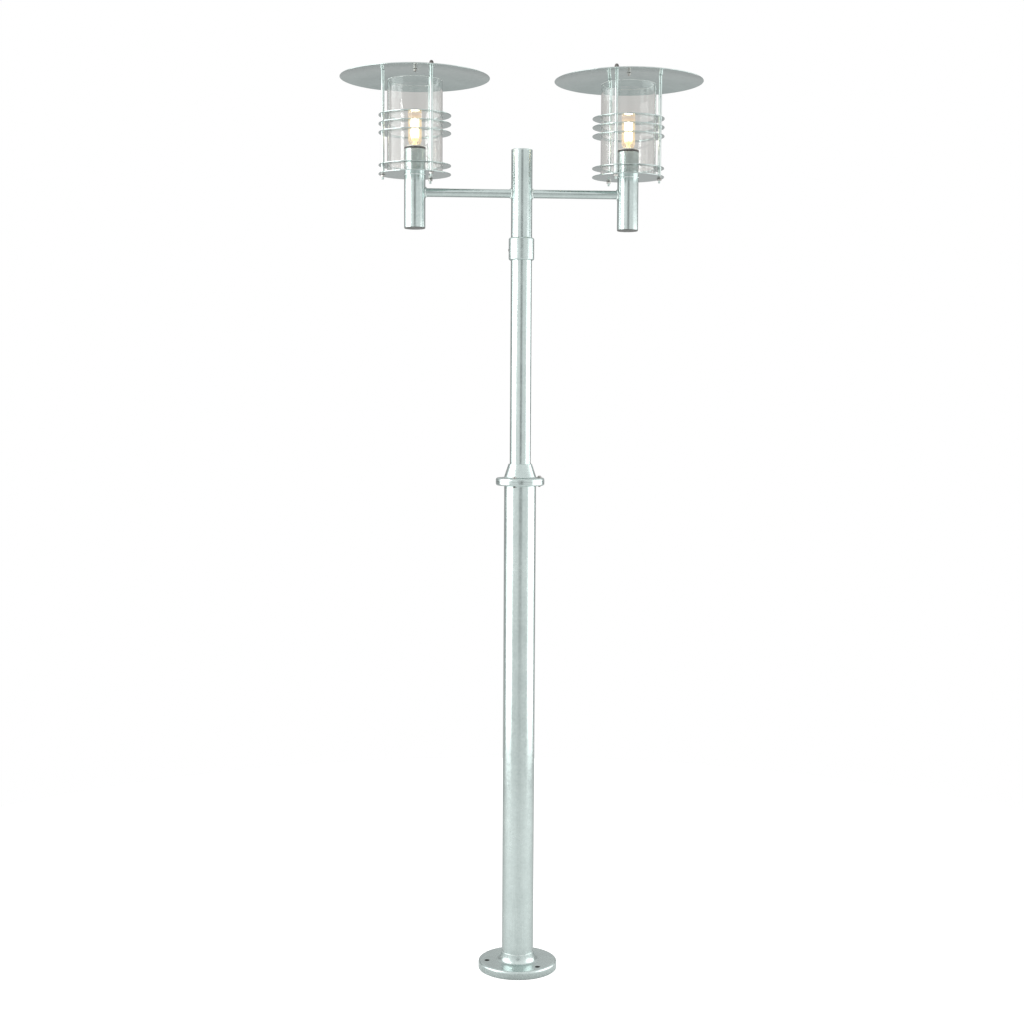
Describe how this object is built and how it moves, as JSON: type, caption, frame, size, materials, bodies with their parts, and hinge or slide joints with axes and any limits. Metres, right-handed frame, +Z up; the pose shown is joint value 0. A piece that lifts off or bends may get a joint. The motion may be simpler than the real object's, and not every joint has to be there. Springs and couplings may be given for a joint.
{
  "type": "garden lamp post",
  "caption": "Twin-head garden lamp post: a flanged galvanised tube pole, a tee with cross arms, and two clear-glass lanterns under shallow round shades.",
  "frame": {"origin": "centre of the foot flange's underside, on the ground and on the pole's axis", "axes": "+Z up along the pole, +X along the right-hand arm, -Y towards the front"},
  "size_m": [0.855, 0.351, 2.1587],
  "materials": {
    "galvanised_steel": "hot-dip galvanised, satin bright zinc with faint mottling",
    "stainless_steel": "turned stainless fasteners",
    "black_plastic": "moulded, matt",
    "white_plastic": "moulded, satin",
    "cable_sheath": "silicone-insulated lead",
    "seal_rubber": "matt rubber ring",
    "clear_glass": "clear drawn glass tube with ground ends",
    "bulb_glass": "clear tubular bulb envelope",
    "lit_capsule": "glowing capsule with its filament",
    "bulb_cap_metal": "nickel-plated screw cap",
    "porcelain": "glazed porcelain"
  },
  "bodies": {
    "post": {"base_flange": "galvanised_steel", "lower_pole": "galvanised_steel", "reducer_flange": "galvanised_steel", "upper_pole": "galvanised_steel", "joint_screw_1": "stainless_steel", "joint_screw_2": "stainless_steel", "joint_screw_3": "stainless_steel"},
    "head": {"sleeve": "galvanised_steel", "sleeve_grub_screw": "stainless_steel", "tee_post": "galvanised_steel", "tee_cap": "galvanised_steel", "terminal_block": "white_plastic", "arm_left": "galvanised_steel", "arm_right": "galvanised_steel", "lamp_lead_left": "cable_sheath", "lamp_lead_right": "cable_sheath", "lamp_tube_left": "galvanised_steel", "tube_plug_left": "black_plastic", "bottom_plate_left": "galvanised_steel", "lower_ring_left": "galvanised_steel", "guard_ring_1_left": "galvanised_steel", "guard_ring_2_left": "galvanised_steel", "guard_ring_3_left": "galvanised_steel", "glass_seal_left": "seal_rubber", "glass_cylinder_left": "clear_glass", "guard_rod_outer_left": "galvanised_steel", "guard_rod_front_left": "galvanised_steel", "guard_rod_back_left": "galvanised_steel", "holder_ring_left": "black_plastic", "lampholder_left": "porcelain", "lamp_tube_right": "galvanised_steel", "tube_plug_right": "black_plastic", "bottom_plate_right": "galvanised_steel", "lower_ring_right": "galvanised_steel", "guard_ring_1_right": "galvanised_steel", "guard_ring_2_right": "galvanised_steel", "guard_ring_3_right": "galvanised_steel", "glass_seal_right": "seal_rubber", "glass_cylinder_right": "clear_glass", "guard_rod_outer_right": "galvanised_steel", "guard_rod_front_right": "galvanised_steel", "guard_rod_back_right": "galvanised_steel", "holder_ring_right": "black_plastic", "lampholder_right": "porcelain"},
    "shade_left": {"shade_left": "galvanised_steel", "shade_screw_left": "stainless_steel", "cap_nut_outer_left": "stainless_steel", "cap_nut_front_left": "stainless_steel", "cap_nut_back_left": "stainless_steel"},
    "bulb_core_left": {"bulb_capsule_left": "lit_capsule"},
    "bulb_left": {"bulb_cap_left": "bulb_cap_metal", "bulb_envelope_left": "bulb_glass"},
    "shade_right": {"shade_right": "galvanised_steel", "shade_screw_right": "stainless_steel", "cap_nut_outer_right": "stainless_steel", "cap_nut_front_right": "stainless_steel", "cap_nut_back_right": "stainless_steel"},
    "bulb_core_right": {"bulb_capsule_right": "lit_capsule"},
    "bulb_right": {"bulb_cap_right": "bulb_cap_metal", "bulb_envelope_right": "bulb_glass"}
  },
  "joints": [
    {"name": "head_swivel", "type": "hinge", "parent": "post", "child": "head", "pos_m": [0, 0, 1.733], "axis": [0, 0, 1], "range_deg": [-180, 180]},
    {"name": "shade_lift_left", "type": "slide", "parent": "head", "child": "shade_left", "axis": [0, 0, 1], "range_m": [0, 0.25]},
    {"name": "bulb_lift_left", "type": "slide", "parent": "head", "child": "bulb_core_left", "axis": [0, 0, 1], "range_m": [0, 0.0146]},
    {"name": "bulb_turn_left", "type": "hinge", "parent": "bulb_core_left", "child": "bulb_left", "pos_m": [-0.252, 0, 1.959], "axis": [0, 0, 1], "range_deg": [0, 1440]},
    {"name": "shade_lift_right", "type": "slide", "parent": "head", "child": "shade_right", "axis": [0, 0, 1], "range_m": [0, 0.25]},
    {"name": "bulb_lift_right", "type": "slide", "parent": "head", "child": "bulb_core_right", "axis": [0, 0, 1], "range_m": [0, 0.0146]},
    {"name": "bulb_turn_right", "type": "hinge", "parent": "bulb_core_right", "child": "bulb_right", "pos_m": [0.252, 0, 1.959], "axis": [0, 0, 1], "range_deg": [0, 1440]}
  ],
  "couplings": [
    {"joint": "bulb_lift_left", "follows": "bulb_turn_left", "m_per_rad": 0.00057757},
    {"joint": "bulb_lift_right", "follows": "bulb_turn_right", "m_per_rad": 0.00057757}
  ]
}
